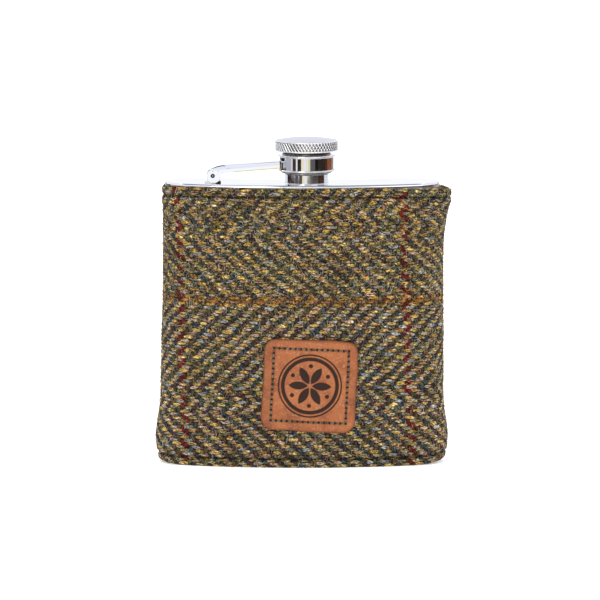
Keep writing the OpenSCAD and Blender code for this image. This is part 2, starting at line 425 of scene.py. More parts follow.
def twill_shift(picks, maximum):
    """How far the twill has stepped to the left by each pick; it turns at REVERSALS."""
    shift = picks
    for k, turn in enumerate(REVERSALS):
        step = -2 if k % 2 == 0 else 2
        shift = shift + step * maximum(picks - turn, 0)
    return shift


def yarn_tops(e, p, end, pick, cos, square, maximum):
    """How high the weft and the warp lie at end e and pick p, on arrays or in a shader."""
    weft = cos((e + twill_shift(pick, maximum) - 1) * QUARTER) + 1.3 * (1 - square((p - pick) * 2 - 1))
    at_warp = end + twill_shift(p - 0.5, maximum) - 2.5
    return weft, cos(at_warp * QUARTER) + 1.0 * (1 - square((e - end) * 2 - 1))


def tweed_material():
    g = Graph("tweed")
    smooth_e, smooth_p, crease = g.split(g.attribute("weave", "Vector"))

    def yarn_noise(x, y, layer, detail=2.0):
        return g.noise(1.0, detail, 0.6, g.vector(x, y, layer))

    # Hairy yarns have ragged outlines, and they lie more regularly below the orange line.
    calm = g.ramp(ORANGE_PICK + 1, ORANGE_PICK - 3, smooth_p)
    ragged = 1 - calm * 0.42
    e = smooth_e + (yarn_noise(smooth_e * 2.6, smooth_p * 2.2, 3.0) - 0.5) * 1.1 * ragged
    p = smooth_p + (yarn_noise(smooth_e * 2.6, smooth_p * 2.2, 31.0) - 0.5) * 0.7 * ragged
    end, pick = g.floor(e), g.floor(p)
    float_number = g.floor((e + twill_shift(pick, g.larger) + 1) / 4)
    weft_top, warp_top = yarn_tops(e, p, end, pick, g.cos, g.square, g.larger)
    weft_top = weft_top + (g.random(float_number, pick, 11.0) - 0.5) * 0.9 * ragged
    weft_shows = g.ramp(-0.25, 0.25, weft_top - warp_top)
    depth = g.larger(weft_top, warp_top)

    def by_yarn(weft_value, warp_value):
        return weft_value * weft_shows + warp_value * (1 - weft_shows)

    # Fibres run along each yarn, aslant because it is twisted.
    fibres = by_yarn(g.ramp(0.36, 0.64, yarn_noise(e * 1.2, p * 2.6 + e * 0.9, 5.0)),
                     g.ramp(0.36, 0.64, yarn_noise(e * 2.8 + p * 1.6, p * 1.2, 6.0)))
    fine = by_yarn(yarn_noise(e * 1.5, p * 7 - e, 8.0), yarn_noise(e * 7 - p * 2, p * 1.5, 9.0))
    odd = by_yarn(yarn_noise(e * 1.1, p * 3.1 - e * 0.6, 15.0),
                  yarn_noise(e * 3.0 - p * 1.3, p * 1.1, 16.0))

    # Each float of the weft takes its own share of the heathered yarn's colours.
    gold = g.palette([(184, 138, 54), (214, 172, 70), (156, 134, 58), (208, 168, 66),
                      (188, 138, 60), (176, 152, 76)], g.random(float_number, pick))
    cream = g.palette([(172, 146, 116), (140, 130, 116), (190, 156, 130), (120, 114, 86), (156, 118, 90),
                       (150, 134, 92), (156, 156, 154)], g.random(float_number, pick, 3.0))
    weft = g.mix(g.math("PINGPONG", pick, 1), gold, cream)
    pale = g.mix(calm, srgb(232, 214, 166), srgb(222, 216, 198))
    weft = g.mix(g.ramp(0.53, 0.62, odd) * 0.75, weft, pale)
    weft = g.mix(g.ramp(0.47, 0.39, odd) * 0.85, weft, srgb(84, 58, 38))
    orange = g.mix(fine, srgb(138, 78, 22), srgb(192, 122, 30))
    patchy = g.ramp(0.3, 0.7, yarn_noise(smooth_e * 0.22, smooth_p * 0.5, 41.0))
    off_orange = g.math("ABSOLUTE", pick - (ORANGE_PICK + 0.15))
    orange_pick = g.ramp(1.7, 0.3, off_orange) * (0.38 + patchy * 0.55)
    weft = g.mix(orange_pick, weft, orange)

    warp = g.palette([(72, 48, 40), (72, 74, 52), (56, 66, 72), (88, 64, 44), (72, 48, 58),
                      (96, 84, 54)], g.random(end, g.floor((smooth_p + end * 1.7) / 3)))
    warp = g.mix(g.ramp(0.54, 0.62, odd) * (0.8 - calm * 0.55), warp, srgb(176, 164, 128))
    warp = g.mix(g.ramp(0.46, 0.38, odd) * 0.6, warp, srgb(54, 82, 76))
    warp = g.mix(orange_pick * 0.35, warp, orange)
    red = g.mix(g.random(end, g.floor(p / 2), 7.0), srgb(92, 20, 16), srgb(138, 36, 26))
    place = g.math("FLOORED_MODULO", end - RED_ENDS, RED_REPEAT)
    warp = g.mix(g.math("LESS_THAN", place, 1.5) * 0.88, warp, red)

    # Light and shade of single yarns, of their fibres and of the cloth as a whole, painted into the
    # colour.
    cloudy = yarn_noise(smooth_e * 0.16, smooth_p * 0.2, 21.0, 3.0)
    each = by_yarn(g.random(float_number, pick, 5.0), g.random(end, pick, 6.0))
    # raised paints shade where the yarns lie low, between them.
    raised = g.ramp(0.15, 1.7, depth)
    light = (0.10 + calm * 0.14 + fibres * (1.05 - calm * 0.28) + (fine - 0.5) * 2.0)
    light = light * (0.12 + cloudy * 1.74) * (1 + calm * 0.02)
    light = light * (0.78 + each * 0.44) * (0.10 + raised * 1.08 + calm * (raised - 0.74) * 0.42)
    # Painted shade in the hems' creases and at the panels' turned-in edges.
    light = g.larger(light * (1 - crease * 0.92), 0.015)

    g.bump(fibres * 0.6 + fine + depth * 0.3, 1.0, 0.35 * MM)
    return g.finish(Base_Color=g.dimmed(g.mix(weft_shows, warp, weft), light), Roughness=0.95,
                    Sheen_Weight=0.04, Sheen_Roughness=0.5, Specular_IOR_Level=0.06)


def fuzz_material():
    """Stray fibres: mostly pale, some dark or gold."""
    g = Graph("wool fibre")
    color = g.palette([(236, 228, 206), (196, 186, 160), (222, 180, 96), (176, 176, 178),
                       (170, 150, 118), (50, 42, 40)], g.attribute("tone"))
    color = g.dimmed(color, 0.7 + g.noise(700.0, 1.0) * 0.5)
    return g.finish(Base_Color=color, Roughness=0.8, Specular_IOR_Level=0.2)


def sleeve_section():
    """Rows of the sleeve's cloth from the bottom hem's inside to the top hem's inside.

    Each row is (out, height, direction out, direction up, distance along the cloth).
    """
    roll = (FACE - TUCKED) / 2
    middle = (FACE + TUCKED) / 2
    leg = 1.6 * MM
    low, high = SLEEVE_Z0 + roll, SLEEVE_Z1 - roll
    step = PICK_PITCH / 4

    def rolled(z, turns):
        return [(middle + roll * math.cos(t), z + roll * math.sin(t), math.cos(t), math.sin(t),
                 z + roll * t) for t in turns]

    rows = [(TUCKED, low + z, -1, 0, low - math.pi * roll - z) for z in np.arange(leg, 0, -2 * step)]
    rows += rolled(low, np.linspace(-math.pi, 0, 8, endpoint=False))
    rows += [(FACE, z, 1, 0, z) for z in np.arange(low, high, step)]
    rows += rolled(high, np.linspace(0, math.pi, 9))
    rows += [(TUCKED, high - z, -1, 0, high + math.pi * roll + z)
             for z in np.arange(2 * step, leg, 2 * step)]
    return np.array(rows)


def near_seam(along, back, width):
    return bell(half_length(back) - np.abs(along), 0, width)


def sleeve_swell(along, z, back):
    """How far the cloth stands off the steel beyond its usual place."""
    right = np.where(along > 0, 1.0, 0.0)
    bottom = (1.65 - 0.1 * right) * bell(z, 9 * MM, 8 * MM)
    flare = (0.1 + 2.5 * right) * bell(z, SLEEVE_Z1 - 2 * MM, (6 + 4 * right) * MM)
    tight = (0.85 - 0.75 * right) * smoothstep(25 * MM, 65 * MM, z)
    creases, puff = 0, 0
    for crease, hem, way in ((TOP_CREASE, SLEEVE_Z1, -1), (BOTTOM_CREASE, SLEEVE_Z0, 1)):
        creases = creases + bell(z, crease, 0.35 * MM)
        puff = puff + bell(z, crease + way * 1.7 * MM, 1.5 * MM)
        puff = puff + bell(z, hem + way * 1.4 * MM, 1.1 * MM)
    uneven = value_noise(along / (9 * MM) + 40, z / (11 * MM), 11 + back)
    sides = near_seam(along, back, 13 * MM) * (bottom + flare - tight)
    return MM * (sides - 0.6 * creases + 0.15 * puff + 0.12 * uneven)


def sleeve_slip(along, z, back):
    """How far the cloth is pulled up at the lower corners, and has slipped down at the top."""
    pull = np.where(along > 0, 1.4, 0.8) * MM * near_seam(along, back, 9 * MM)
    lift = pull * (1 - smoothstep(0, 12 * MM, z))
    top = smoothstep(SLEEVE_Z1 - 12 * MM, SLEEVE_Z1, z)
    corner = near_seam(along, back, 8 * MM)
    right = 0.6 * smoothstep(22 * MM, 42 * MM, along) + 0.9 * corner
    return lift - MM * top * np.where(along > 0, right, 0.5 * corner)


def tweed_panel(node, back, material):
    """One panel of the sleeve, with the weave as real relief and both hems turned in."""
    rows = sleeve_section()
    half = half_length(back) - 0.1 * MM
    columns = int(2 * half / END_PITCH * 3)
    along, row = np.meshgrid(np.linspace(-half, half, columns), np.arange(len(rows)))
    out, z, out_way, up_way, cloth = (rows[:, k][row] for k in range(5))

    def drift(amount, wide, from_wide, tall, from_tall, seed):
        """The yarns wander, by so many pitches, over so many millimetres."""
        x, y = along / (wide * MM) + from_wide, cloth / (tall * MM) + from_tall
        return amount * value_noise(x, y, seed + back)

    drag = 0.8 * smoothstep(85 * MM, 94 * MM, cloth) * smoothstep(-15 * MM, -40 * MM, along)
    pulled = 0.55 * smoothstep(8 * MM, 22 * MM, cloth) + 0.2 * smoothstep(60 * MM, 90 * MM, cloth)
    drag = drag + pulled * smoothstep(5 * MM, 30 * MM, along)
    drag = drag + drift(0.35, 6, 9, 14, 0, 3) + drift(0.22, 1.7, 50, 2, 9, 13)
    e = (along + SKEW * (cloth - SKEW_Z)) / END_PITCH + drag + (17 if back else 0)
    p = cloth / PICK_PITCH + drift(0.35, 14, 0, 6, 9, 5) + drift(0.20, 2, 50, 1.6, 90, 15)

    swell = sleeve_swell(along, z, back)
    outer = np.clip((out - TUCKED) / (FACE - TUCKED), 0, 1)
    swell = np.where(swell > 0, swell * (0.35 + 0.65 * outer), swell * outer)
    edge = np.clip(1 - (half - np.abs(along)) / EDGE, 0, 1)
    tuck = 0.9 * EDGE * (1 - np.sqrt(1 - 0.98 * edge ** 2)) * outer
    uneven = 1 + 0.35 * value_noise(e / 2, p * 1.7, 7 + back)
    tops = yarn_tops(e, p, np.floor(e), np.floor(p), np.cos, np.square, np.maximum)
    relief = 0.17 * MM * (np.maximum(*tops) - 0.9) * uneven

    # crease says where the tweed paints shade: in the hems' creases and where the panel turns in at the
    # seams.
    crease = np.maximum(bell(z, TOP_CREASE, 0.4 * MM), bell(z, BOTTOM_CREASE, 0.4 * MM))
    crease = np.maximum(crease, 0.8 * edge ** 3) * outer
    slip = sleeve_slip(along, z, back)
    x, y, _, _ = outline(along, out + swell - tuck + relief * out_way, back)
    z = np.maximum(z + slip + relief * up_way, CAD_BOX[0][2])
    points = np.stack([x, y, z], axis=-1).reshape(-1, 3)
    faces = grid_faces(*along.shape)
    shape = points, faces[:, ::-1] if back else faces
    panel = new_piece(node + "_cloth", shape, material, "flask", (node,))
    weave = panel.data.attributes.new("weave", "FLOAT_VECTOR", "POINT")
    weave.data.foreach_set("vector", np.stack([e, p, crease], axis=-1).ravel())


def fuzz(name, back, material):
    """Stray wool fibres that lie on one panel in loose curves."""
    random = np.random.default_rng(70 + back)
    one_each = (FIBRES, 1)
    steps, sides = 7, 3
    half = half_length(back) - 0.4 * MM
    t = np.linspace(0, 1, steps)[None, :]
    length = random.uniform(1.0, 4.2, one_each) * MM
    heading = random.uniform(0, math.tau, one_each)
    bend = random.normal(0, 1.5, one_each)
    turn = heading + bend * t + 0.4 * np.sin(7 * t + heading)
    step = length / (steps - 1)
    along = random.uniform(-half, half, one_each) + np.cumsum(step * np.cos(turn), axis=1)
    z = random.uniform(SLEEVE_Z0, SLEEVE_Z1, one_each) + np.cumsum(step * np.sin(turn), axis=1)
    along, z = np.clip(along, -half, half), np.clip(z, SLEEVE_Z0 + 0.3 * MM, SLEEVE_Z1)
    arch = random.uniform(0.1, 0.5, one_each) ** 1.5 * 1.5 * MM
    edge = np.clip(1 - (half - np.abs(along)) / EDGE, 0, 1)
    out = FACE + sleeve_swell(along, z, back) - 0.7 * EDGE * edge ** 2 + 0.1 * MM
    out = out + arch * np.sin(math.pi * t) - 0.12 * MM * (1 - np.sin(math.pi * t))
    x, y, nx, ny = outline(along, out, back)
    z = z + sleeve_slip(along, z, back)
    # Across the fibre: outwards, and sideways along the cloth.
    way_out = np.stack([nx, ny, 0 * nx], axis=-1)
    way_side = np.stack([-ny * np.sin(turn), nx * np.sin(turn), np.cos(turn)], axis=-1)
    centre = np.stack([x, y, z], axis=-1)
    thick = random.uniform(0.03, 0.065, one_each) * MM * (1 - 0.6 * np.abs(2 * t - 1) ** 3)
    points = np.stack([centre + thick[..., None] * (math.cos(a) * way_out + math.sin(a) * way_side)
                       for a in circle(sides)], axis=2)
    starts = (np.arange(FIBRES) * steps * sides)[:, None, None]
    faces = (grid_faces(steps, sides, False, True)[None] + starts).reshape(-1, 4)
    piece = new_piece(name, (points.reshape(-1, 3), faces), material, "flask")
    mark_points(piece, "tone", np.repeat(random.uniform(0, 1, FIBRES), steps * sides))


# Stitches


def stitch(length, radius, sink):
    """One thread stitch lying along x on the plane y = 0, its ends sunk by sink."""
    rings, sides = 9, 8
    t = np.linspace(-1, 1, rings)[:, None]
    turn = circle(sides)
    swell = radius * np.sqrt(np.clip(1 - t ** 6, 0.02, 1))
    swell = swell * (1 + 0.10 * np.cos(3 * (turn + 2.2 * t * 2)))
    rise = radius * 0.6 - sink * t ** 4
    points = np.stack([t * length / 2 + 0 * turn, rise + swell * np.cos(turn),
                       swell * np.sin(turn)], axis=-1).reshape(-1, 3)
    faces = grid_faces(rings, sides, False, True).tolist()
    faces += [list(range(sides))[::-1], [(rings - 1) * sides + k for k in range(sides)]]
    return points, faces


def thread_material(name, dark, light):
    g = Graph(name)
    tone = g.noise(900.0, 3.0, 0.6)
    g.bump(tone, 0.5, 0.1 * MM)
    return g.finish(Base_Color=g.mix(g.ramp(0.35, 0.65, tone), dark, light), Roughness=0.7,
                    Specular_IOR_Level=0.3)


def on_front(points, along, z, out, turn=0.0, back=False):
    """Lays small local shapes (x along, y out, z up) on the sleeve at one place."""
    c, s = math.cos(turn), math.sin(turn)
    x = points[:, 0] * c + points[:, 2] * s
    up = points[:, 2] * c - points[:, 0] * s
    px, py, _, _ = outline(along + x, out + points[:, 1], back)
    return np.stack([px, py, z + up], axis=-1)


def hem_stitches(node, z, material):
    """Topstitching sunk in the crease of one hem, front and back."""
    pitch, parts = 2.4 * MM, []
    for back in (False, True):
        reach = half_length(back) - 3 * MM
        for along in np.arange(-reach, reach, pitch):
            points, faces = stitch(pitch * 0.68, 0.16 * MM, 0.25 * MM)
            out = FACE + sleeve_swell(along, z, back) - 0.05 * MM
            height = z + sleeve_slip(along, z, back)
            parts.append((on_front(points, along, height, out, back=back), faces))
    new_piece(node + "_stitches", joined(parts), material, "flask", (node,))


def seam_stitches(node, side, material):
    """Ladder stitches down one side seam, in the valley between the panels."""
    low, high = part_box(node)
    parts = []
    for z in np.arange(low.z, high.z, 2.4 * MM):
        points, faces = stitch(1.5 * MM, 0.17 * MM, 0.3 * MM)
        swell = sleeve_swell(side * half_length(False), z, False)
        x = side * (END_X + FACE + swell - 0.62 * MM + points[:, 1])
        spot = np.stack([x, END_Y + points[:, 0], z + points[:, 2] + 0.3 * points[:, 0]], axis=-1)
        parts.append((spot, faces if side > 0 else [f[::-1] for f in faces]))
    new_piece(node + "_stitches", joined(parts), material, "flask", (node,))


# Leather patch


def on_patch(u, v):
    """The distance round the sleeve and the height of a place on the patch, set askew."""
    c, s = math.cos(PATCH_TURN), math.sin(PATCH_TURN)
    return PATCH_ALONG + u * c + v * s, PATCH_Z + v * c - u * s


def rosette(u, v):
    """1 inside the patch's pressed ornament: six leaves and dots in a ring, no lettering."""
    leaf_mid, leaf_half, leaf_wide = 3.9 * MM, 3.2 * MM, 1.35 * MM
    leaf_r = (leaf_half ** 2 + leaf_wide ** 2) / (2 * leaf_wide)
    dot_mid, dot_r, soft = 6.7 * MM, 0.7 * MM, 0.1 * MM
    inside = np.zeros_like(u)
    for turn in circle(6):
        c, s = math.cos(turn), math.sin(turn)
        along, across = u * c + v * s - leaf_mid, v * c - u * s
        leaf = leaf_r - np.hypot(along, np.abs(across) + leaf_r - leaf_wide)
        c, s = math.cos(turn + math.pi / 6), math.sin(turn + math.pi / 6)
        dot = dot_r - np.hypot(u - dot_mid * c, v - dot_mid * s)
        inside = np.maximum(inside, smoothstep(-soft, soft, np.maximum(leaf, dot)))
    radius = np.hypot(u, v)
    for ring_r, width in ((9.0 * MM, 0.62 * MM), (10.4 * MM, 0.26 * MM)):
        ring = 1 - smoothstep(width - soft, width + soft, np.abs(radius - ring_r))
        inside = np.maximum(inside, ring)
    return inside


def patch_edge(u, v):
    """Distance in from the patch's outline, and from its stitch line."""
    cu, cv = np.abs(u) - (HALF_W - PATCH_CORNER), np.abs(v) - (HALF_H - PATCH_CORNER)
    corner = np.hypot(np.maximum(cu, 0), np.maximum(cv, 0)) + np.minimum(np.maximum(cu, cv), 0)
    line = np.maximum(np.abs(u) - HALF_W, np.abs(v) - HALF_H) + STITCH_INSET
    return PATCH_CORNER - corner, np.abs(line)


def needle_holes(u, v):
    """1 at the needle holes, where two stitches meet."""
    half_u, half_v = HALF_W - STITCH_INSET, HALF_H - STITCH_INSET
    holes = np.zeros_like(u)
    for run, half_run, off, half_off in ((u, half_u, v, half_v), (v, half_v, u, half_u)):
        place = (run / half_run + 1) / 2 * PATCH_STITCHES
        nearest = np.clip(np.round(place), 0, PATCH_STITCHES)
        gap = (place - nearest) * 2 * half_run / PATCH_STITCHES
        holes = np.maximum(holes, bell(np.hypot(gap, np.abs(off) - half_off), 0, 0.55 * MM))
    return holes


def leather_material():
    g = Graph("leather")
    mark, edge, hole = (g.attribute(name) for name in ("mark", "edge", "hole"))
    blotch = g.noise(170.0, 4.0, 0.6)
    fine = g.noise(1300.0, 3.0, 0.65)
    pebble = g.field("ShaderNodeTexVoronoi", {"Vector": g.position(), "Scale": 1300.0},
                     "Distance", feature="SMOOTH_F1")
    color = g.palette([(130, 68, 34), (162, 92, 49), (175, 104, 56)],
                      g.ramp(0.25, 0.75, blotch), "LINEAR")
    color = g.mix(g.ramp(0.38, 0.66, fine) * 0.6, color, srgb(118, 60, 32))
    # Painted highlights: pale specks on the tops of the pebbles.
    color = g.mix(g.ramp(0.66, 0.5, pebble) * g.ramp(0.52, 0.62, fine) * 0.35, color, srgb(214, 152, 104))
    # edge is darker within 1.1 mm of the outline, and carries painted shade over the patch's left side.
    color = g.mix(edge * 0.75, color, srgb(100, 54, 32))
    color = g.mix(mark * (0.93 + fine * 0.07), color, srgb(34, 20, 14))
    # Painted shade in the needle holes.
    color = g.mix(hole, color, srgb(22, 14, 11))
    g.bump(fine * 0.6 - pebble * 0.6, 0.8, 0.2 * MM)
    rough = 0.38 + blotch * 0.25 + mark * 0.3
    return g.finish(Base_Color=color, Roughness=rough, Specular_IOR_Level=0.3)


def patch_grid(count):
    """A square grid, pulled in at its corners so that its rim is the rounded outline."""
    a, b = np.meshgrid(np.linspace(-1, 1, count), np.linspace(-1, 1, count))
    bearing = np.arctan2(b * HALF_H, a * HALF_W)
    dx, dz = np.abs(np.cos(bearing)), np.abs(np.sin(bearing))
    square = 1 / np.maximum(dx / HALF_W, dz / HALF_H)
    cx, cz = HALF_W - PATCH_CORNER, HALF_H - PATCH_CORNER
    dot = dx * cx + dz * cz
    turn = dot + np.sqrt(np.maximum(dot ** 2 - cx ** 2 - cz ** 2 + PATCH_CORNER ** 2, 0))
    in_corner = (turn * dx > cx) & (turn * dz > cz)
    reach = np.where(in_corner, np.minimum(turn, square), square)
    pull = 1 + (reach / square - 1) * np.maximum(np.abs(a), np.abs(b)) ** 8
    return a * HALF_W * pull, b * HALF_H * pull


def placed_leather(u, out, v):
    """Points of the leather on the sleeve; its hand-cut outline isn't quite straight."""
    u, out, v = u.ravel(), out.ravel(), v.ravel()
    wobble_u = value_noise(v / (6 * MM) + 40, np.sign(u) + 5, 31)
    wobble_v = value_noise(u / (6 * MM) + 40, np.sign(v) + 9, 32)
    cut_u = u + 0.22 * MM * np.abs(u / HALF_W) ** 6 * wobble_u
    cut_v = v + 0.22 * MM * np.abs(v / HALF_H) ** 6 * wobble_v
    along, z = on_patch(cut_u, cut_v)
    x, y, _, _ = outline(along, out)
    return np.stack([x, y, z], axis=-1)


def leather_patch(material):
    """The patch: grain, a stitched groove, needle holes and the pressed ornament."""
    count = 201
    u, v = patch_grid(count)
    inset, from_line = patch_edge(u, v)
    round_off = np.clip(1 - inset / (0.55 * MM), 0, 1)
    thick = PATCH_T * (0.45 + 0.55 * np.sqrt(1 - 0.98 * round_off ** 2))
    groove = 0.22 * MM * bell(from_line, 0, 0.5 * MM)
    mark, holes = rosette(u, v), needle_holes(u, v)
    wave = 0.07 * MM * value_noise(u / (3 * MM) + 20, v / (3 * MM) + 20, 21)
    pit = 0.03 * MM * value_noise(u / (0.45 * MM) + 99, v / (0.45 * MM) + 99, 22)
    out = FACE + thick - groove - 0.16 * MM * mark + (wave + pit) * (1 - mark * 0.6)
    top = placed_leather(u, out - 0.3 * MM * holes, v)
    under = placed_leather(u * 0.995, np.full_like(u, FACE - 0.1 * MM), v * 0.995)

    faces = grid_faces(count, count)
    index = np.arange(count * count).reshape(count, count)
    rim = np.concatenate([index[0, :-1], index[:-1, -1], index[-1, :0:-1], index[:0:-1, 0]])
    below = rim + count * count
    wall = np.stack([rim, below, np.roll(below, -1), np.roll(rim, -1)], axis=-1)
    shape = (np.concatenate([top, under]), np.concatenate([faces, faces[:, ::-1] + count * count, wall]))
    patch = new_piece("patch_leather", shape, material, "flask", ("leather_patch",))
    # Painted shade over the patch's left side.
    shaded_left_side = 0.35 * smoothstep(-0.72 * HALF_W, -HALF_W, u)
    edge = np.maximum(np.clip(1 - inset / (1.1 * MM), 0, 1), shaded_left_side)
    for name, values in (("mark", mark), ("edge", edge), ("hole", smoothstep(0.25, 0.8, holes))):
        mark_points(patch, name, np.stack([values, values]))


def patch_stitching(material):
    half_u, half_v = HALF_W - STITCH_INSET, HALF_H - STITCH_INSET
    parts = []
    for k in range(PATCH_STITCHES):
        t = (k + 0.5) / PATCH_STITCHES * 2 - 1
        for u, v, turn in ((t * half_u, half_v, 0), (t * half_u, -half_v, 0),
                           (half_u, t * half_v, QUARTER), (-half_u, t * half_v, QUARTER)):
            points, faces = stitch(1.2 * MM, 0.22 * MM, 0.35 * MM)
            slant = turn + PATCH_TURN + 0.06 * math.sin(5.1 * k + 3 * turn)
            out = FACE + PATCH_T - 0.16 * MM
            parts.append((on_front(points, *on_patch(u, v), out, slant), faces))
    new_piece("patch_stitches", joined(parts), material, "flask", ("patch_thread",))


# Steel


def steel_material(name, color, roughness, bump):
    """Steel with fine marks and faint smears."""
    g = Graph(name)
    smears = g.noise(120.0, 3.0)
    g.bump(g.noise(1400.0, 3.0, 0.6), bump, 0.02 * MM)
    tint = g.mix(g.ramp(0.3, 0.7, smears), color, tuple(c * 0.94 for c in color))
    return g.finish(Base_Color=tint, Metallic=1.0, Roughness=roughness * (0.7 + smears * 0.6))


def knurled_material():
    """Satin steel with painted shade in the knurl's grooves; the dome is duller than the rim."""
    g = Graph("knurled steel")
    _, _, z = g.xyz()
    on_dome = g.ramp(RIM_TOP - 0.1 * MM, RIM_TOP, z)
    smears = g.noise(200.0, 3.0)
    dome = g.mix(smears, (0.62, 0.63, 0.69), (0.68, 0.69, 0.75))
    color = g.mix(on_dome, (0.97, 0.965, 0.975), dome)
    # Painted shade in the knurl's grooves.
    color = g.mix(g.attribute("groove") * 0.82, color, (0.05, 0.047, 0.045))
    g.bump(g.noise(1600.0, 3.0, 0.6), 0.2, 0.02 * MM)
    return g.finish(Base_Color=color, Metallic=1.0, Roughness=0.17 + on_dome * 0.17 + smears * 0.06)


def skirt_material():
    """Turned steel painted dark, as a reflection of the cap's underside, with painted shade deepening
    above the ring, towards the cap, where it is also duller.
    """
    g = Graph("skirt steel")
    _, _, z = g.xyz()
    shaded = g.ramp(ring_high.z, cap_low.z - 0.2 * MM, z)
    lines = g.noise(6000.0, 2.0, 0.6, g.vector(0.0, 0.0, z))
    g.bump(g.noise(1400.0, 3.0, 0.6) * 0.5 + lines * 0.5, 0.1, 0.02 * MM)
    # Painted reflection and shade: dark steel that darkens further towards the cap.
    tint = g.mix(shaded, (0.30, 0.27, 0.24), (0.03, 0.027, 0.025))
    return g.finish(Base_Color=tint, Metallic=1.0, Roughness=0.2 + shaded * 0.15)


def rubber_material():
    g = Graph("rubber")
    grain = g.noise(2500.0)
    g.bump(grain, 0.3, 0.05 * MM)
    color = g.mix(grain, srgb(30, 30, 30), srgb(46, 45, 44))
    return g.finish(Base_Color=color, Roughness=0.75)


def top_plate(material):
    """The shoulder plate: a rounded edge swept round the outline, and a hole for the neck."""
    radius, under, count = 0.9 * MM, plate_low.z, 160
    profile = [(HALF_DEPTH * share, under) for share in (0, 0.5, 0.99)]
    profile += [(HALF_DEPTH, under + 0.05 * MM)]
    profile += arc(HALF_DEPTH - radius, PLATE_Z - radius, radius, 0, QUARTER, 11)
    profile += [(HALF_DEPTH - radius - 0.06 * MM, PLATE_Z)]
    profile += [(HALF_DEPTH * share, PLATE_Z) for share in (0.7, 0.4, 0)]
    r, z = np.array(profile).T[..., None]
    halves = []
    for back in (False, True):
        half = half_length(back)
        along = np.linspace(-half, half, count, endpoint=False) * (-1 if back else 1)
        x, y, _, _ = outline(along, r, back)
        halves.append(np.stack([x, y, z + 0 * x], axis=-1))
    shape = (np.concatenate(halves, axis=1).reshape(-1, 3),
             grid_faces(len(profile), 2 * count, False, True))
    plate = new_piece("shoulder_plate", shape, material, "flask", ("top_plate",))
    cut_hole(plate, 5.97 * MM)


def cut_hole(piece, radius):
    """Welds a piece and cuts a round hole through it on the neck's axis."""
    count, reach = 96, 20 * MM
    ring = [(NECK.x + radius * math.cos(t), NECK.y + radius * math.sin(t)) for t in circle(count)]
    faces = grid_faces(2, count, False, True).tolist()
    faces += [list(range(count))[::-1], list(range(count, 2 * count))]
    drill = add_mesh("drill", [(x, y, z) for z in (PLATE_Z - reach, PLATE_Z + reach)
                               for x, y in ring], faces)
    modify(piece, "WELD", merge_threshold=0.01 * MM)
    modify(piece, "BOOLEAN", operation="DIFFERENCE", solver="EXACT", object=drill)
    seen = piece.evaluated_get(bpy.context.evaluated_depsgraph_get())
    cut_mesh = bpy.data.meshes.new_from_object(seen)
    cut_mesh.set_sharp_from_angle(angle=math.radians(35))
    piece.modifiers.clear()
    piece.data = cut_mesh
    bpy.data.objects.remove(drill)


def thread_ridge(z, low, high, zero, count=128):
    """A ridge, 0 to 1, that climbs one pitch for each turn and fades at both ends."""
    phase = (z - zero) / THREAD_PITCH - circle(count) / math.tau
    ridge = np.clip(1.6 * (0.5 + 0.5 * np.cos(math.tau * phase)) - 0.3, 0, 1)
    return ridge * smoothstep(0, 0.8 * MM, z - low) * smoothstep(0, 0.6 * MM, high - z)


def neck(material):
    """Collar, bore and thread."""
    top = neck_high.z
    start, stop = COLLAR_TOP + 0.25 * MM, top - 0.5 * MM
    wide, tall, foot = 0.15 * MM, 0.2 * MM, PLATE_Z - 0.1 * MM
    flare = [(COLLAR_R + wide * (1 - math.sin(t)), PLATE_Z + tall * (1 - math.cos(t)))
             for t in np.linspace(0, QUARTER, 6)]
    collar = [(NECK_BORE_R, neck_low.z), (COLLAR_R - 1.36 * MM, neck_low.z),
              (COLLAR_R - 1.36 * MM, foot), (COLLAR_R + wide, foot), *flare,
              (COLLAR_R, COLLAR_TOP - 0.2 * MM), (COLLAR_R - 0.2 * MM, COLLAR_TOP),
              (6.1 * MM, COLLAR_TOP)]
    z = np.linspace(start, stop, 60)[:, None]
    thread_r = (6.05 + 0.42 * thread_ridge(z, start, stop, start)) * MM
    lip = [(6.0 * MM, top - 0.3 * MM), (5.9 * MM, top - 0.08 * MM), (5.75 * MM, top),
           (5.4 * MM, top), (5.25 * MM, top - 0.06 * MM), (NECK_BORE_R, top - 0.25 * MM)]
    new_piece("neck_steel", turned(supported(collar), thread_r, z, lip), material, "flask",
              ("neck_tube",))


def cap_ring(material):
    """The captive collar: a band with a rolled lip above and below."""
    low, high, bore = ring_low.z, ring_high.z, 8.3 * MM
    r, lip, foot = 9.0 * MM, 0.4 * MM, 0.26 * MM
    section = [(bore, low), *arc(r - 0.02 * MM, low + foot, foot, -1.57, 1.1, 8),
               (r, low + 2.1 * foot), (r, high - 2.15 * lip),
               *arc(r + 0.08 * MM, high - lip, lip, -1.2, 1.57, 10),
               (bore + 0.15 * MM, high), (bore, high - 0.15 * MM)]
    new_piece("ring_band", lathe(section), material, "arm", ("cap_ring",))


